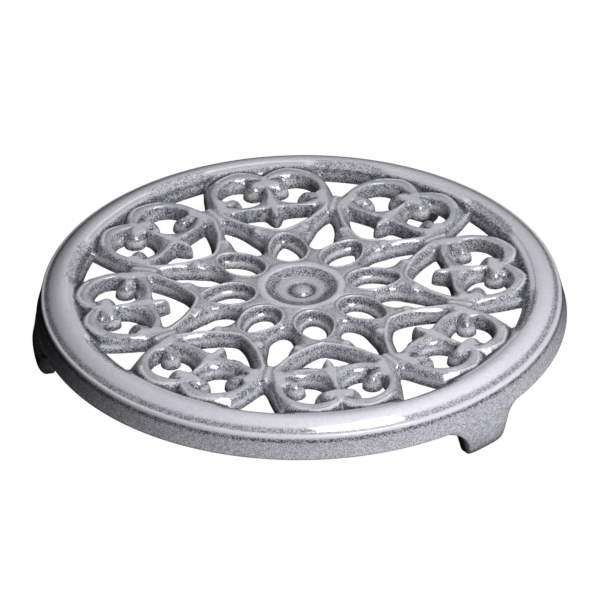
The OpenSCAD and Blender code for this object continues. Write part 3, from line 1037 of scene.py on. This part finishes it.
class TRIVET_OT_feet(bpy.types.Operator):
    """Build the three feet"""
    bl_idname = "trivet.feet"
    bl_label = "Feet"

    # From the skirt down to the sole: height above the table, half width, outer and inner radius
    LEVELS = [(18.6, 27.0, 113.4, 111.5), (17.0, 25.5, 114.3, 111.0), (15.6, 22.5, 114.95, 110.5),
              (14.6, 19.0, 115.25, 109.0), (13.4, 16.2, 115.6, 108.0), (11.8, 13.9, 116.1, 107.4),
              (9.6, 12.1, 116.7, 107.3), (7.2, 10.9, 116.8, 107.5), (5.0, 10.3, 116.6, 107.8),
              (3.2, 9.9, 116.1, 108.1), (1.8, 9.6, 115.4, 108.4), (0.8, 9.2, 114.5, 108.7),
              (0.25, 8.7, 113.7, 109.2), (0.0, 8.0, 113.0, 109.8)]

    def execute(self, context):
        rings = [raised(self.ring(half, outer, inner), z - CREST / MM)
                 for z, half, outer, inner in smooth_curve(self.LEVELS, closed=False, steps=3)]
        count = len(rings[0])
        points = np.concatenate(rings)
        faces = []
        for i in range(len(rings) - 1):
            for j in range(count):
                k = (j + 1) % count
                faces.append((i * count + j, (i + 1) * count + j, (i + 1) * count + k, i * count + k))
        faces.append(tuple(range(count)))
        faces.append(tuple(reversed(range(len(points) - count, len(points)))))
        low = 1 - smooth_step(points[:, 2] + CREST / MM, 0.5, 5.0)
        for k, angle in enumerate(FOOT_ANGLES, 1):
            part = make_mesh("foot", points, faces)
            piece = set_out(f"cast_foot_{k}", part, 1, radians(angle), enamel("Enamel shade"))
            turn_outwards(piece.data)
            smooth_faces(piece.data)
            add_marks(piece, 0.38 + 0.35 * low, 0.5 + 0.5 * low)
            settle(piece, [f"foot_{k}"])
        return {"FINISHED"}

    @staticmethod
    def ring(half, outer, inner, count=14):
        """One level of a foot pointing along +X: a bent bar with rounded corners."""
        s = np.sin(np.linspace(-1, 1, count) * pi / 2)
        corner = 0.8 * np.abs(s) ** 8
        r = np.concatenate([outer - corner, (inner + corner)[::-1]])
        a = np.concatenate([s, s[::-1]]) * half / outer
        return np.stack([r * np.cos(a), r * np.sin(a)], 1)


# The stage

SENSOR = 36
# Where the trivet stands off the middle of the picture, in shares of its width
SHIFT_X, SHIFT_Y = -0.0021, -0.0250
# The softboxes: azimuth and elevation in degrees, distance, width and height in metres, power
SOFTBOXES = {
    "Key": (27, 62, 1.2, 0.5, 0.46, 13),
    "Front": (27, 20, 2.2, 1.2, 1.0, 50),
    "Top": (120, 68, 2.0, 1.6, 1.6, 7),
}
# How brightly the room and the lit table light the trivet
ROOM = 0.003
TABLE = 0.08


def aim(thing, place, target):
    """Puts a lamp or camera at a place, looking at a target."""
    look = (Vector(target) - Vector(place)).normalized()
    thing.rotation_euler = look.to_track_quat("-Z", "Y").to_euler()
    thing.location = place


def from_angles(azimuth, elevation, distance):
    """A place round the trivet, seen as the camera's angles are."""
    out = distance * cos(elevation)
    return Vector((out * sin(azimuth), -out * cos(azimuth), distance * sin(elevation)))


def add_lamp(name, azimuth, elevation, distance, width, height, power):
    """A softbox that looks at the trivet."""
    data = bpy.data.lights.new(name, "AREA")
    data.shape = "RECTANGLE"
    data.size = width
    data.size_y = height
    data.energy = power
    lamp = bpy.data.objects.new(name, data)
    bpy.context.scene.collection.objects.link(lamp)
    aim(lamp, from_angles(radians(azimuth), radians(elevation), distance), (0, 0, CREST))
    # The front lamp only fills, and the glaze doesn't mirror it
    lamp.visible_glossy = name != "Front"


class TRIVET_OT_stage(bpy.types.Operator):
    """Set up the camera, the lamps and the white surround"""
    bl_idname = "trivet.stage"
    bl_label = "Stage"

    def execute(self, context):
        scene = context.scene
        stage = scene.trivet_stage
        scene.view_settings.view_transform = "Standard"
        data = bpy.data.cameras.new("Camera")
        data.lens = stage.lens
        data.sensor_width = SENSOR
        data.shift_x = SHIFT_X
        data.shift_y = SHIFT_Y
        data.clip_end = 20
        camera = bpy.data.objects.new("Camera", data)
        scene.collection.objects.link(camera)
        target = Vector((0, 0, CREST))
        place = target + from_angles(stage.azimuth, stage.elevation, stage.distance)
        aim(camera, place, target)
        camera.rotation_euler = (camera.rotation_euler.to_matrix()
                                 @ Matrix.Rotation(stage.roll, 3, "Z")).to_euler()
        scene.camera = camera
        for name, settings in SOFTBOXES.items():
            add_lamp(name, *settings)
        self.surround(scene)
        return {"FINISHED"}

    @staticmethod
    def surround(scene):
        """A world that shows white and lights the trivet like a dark room with a lit table."""
        world = bpy.data.worlds.new("Surround")
        scene.world = world
        world.use_nodes = True
        tree = world.node_tree
        tree.nodes.clear()
        path = tree.nodes.new("ShaderNodeLightPath").outputs
        seen = Socket(tree, path["Is Camera Ray"]) + Socket(tree, path["Is Transmission Ray"])
        strength = seen.clamp()
        # The table is seen in front and below
        split = tree.nodes.new("ShaderNodeSeparateXYZ")
        tree.links.new(add_node(tree, "ShaderNodeTexCoord").socket, split.inputs[0])
        x, y, z = [Socket(tree, output) for output in split.outputs]
        table = (z * -1).step(0.0, 0.12) * (x * 0.6 - y * 0.8).step(-0.3, 0.7)
        strength = strength + (1 - strength) * (table * TABLE + ROOM)
        background = add_node(tree, "ShaderNodeBackground",
                              {"Color": rgba((1, 1, 1)), "Strength": strength})
        add_node(tree, "ShaderNodeOutputWorld", {"Surface": background})


class TRIVET_PT_panel(bpy.types.Panel):
    """Lists the trivet's sizes, colours and steps"""
    bl_idname = "TRIVET_PT_panel"
    bl_label = "Cast Trivet"
    bl_space_type = "VIEW_3D"
    bl_region_type = "UI"
    bl_category = "Trivet"

    def draw(self, context):
        for group in GROUPS:
            settings = getattr(context.scene, group)
            box = self.layout.box()
            for name in settings.bl_rna.properties.keys():
                if name not in ("rna_type", "name"):
                    box.prop(settings, name)
        for step in STEPS:
            self.layout.operator(step.bl_idname)


STEPS = (TRIVET_OT_stage, TRIVET_OT_heart_scrolls, TRIVET_OT_loops, TRIVET_OT_medallion,
         TRIVET_OT_rim, TRIVET_OT_feet)
GROUPS = {"trivet_sizes": TrivetSizes, "trivet_colours": TrivetColours, "trivet_stage": TrivetStage}


def register():
    """Makes the settings, the steps and the panel known."""
    for cls in (*GROUPS.values(), *STEPS, TRIVET_PT_panel):
        bpy.utils.register_class(cls)
    for name, group in GROUPS.items():
        setattr(bpy.types.Scene, name, bpy.props.PointerProperty(type=group))


def unregister():
    """Takes them back in the opposite order."""
    for name in GROUPS:
        delattr(bpy.types.Scene, name)
    for cls in reversed((*GROUPS.values(), *STEPS, TRIVET_PT_panel)):
        bpy.utils.unregister_class(cls)


def main():
    """Builds the trivet step by step."""
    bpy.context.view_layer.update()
    register()
    for step in STEPS:
        family, name = step.bl_idname.split(".")
        getattr(getattr(bpy.ops, family), name)()
    bpy.context.view_layer.update()


if __name__ == "__main__":
    main()
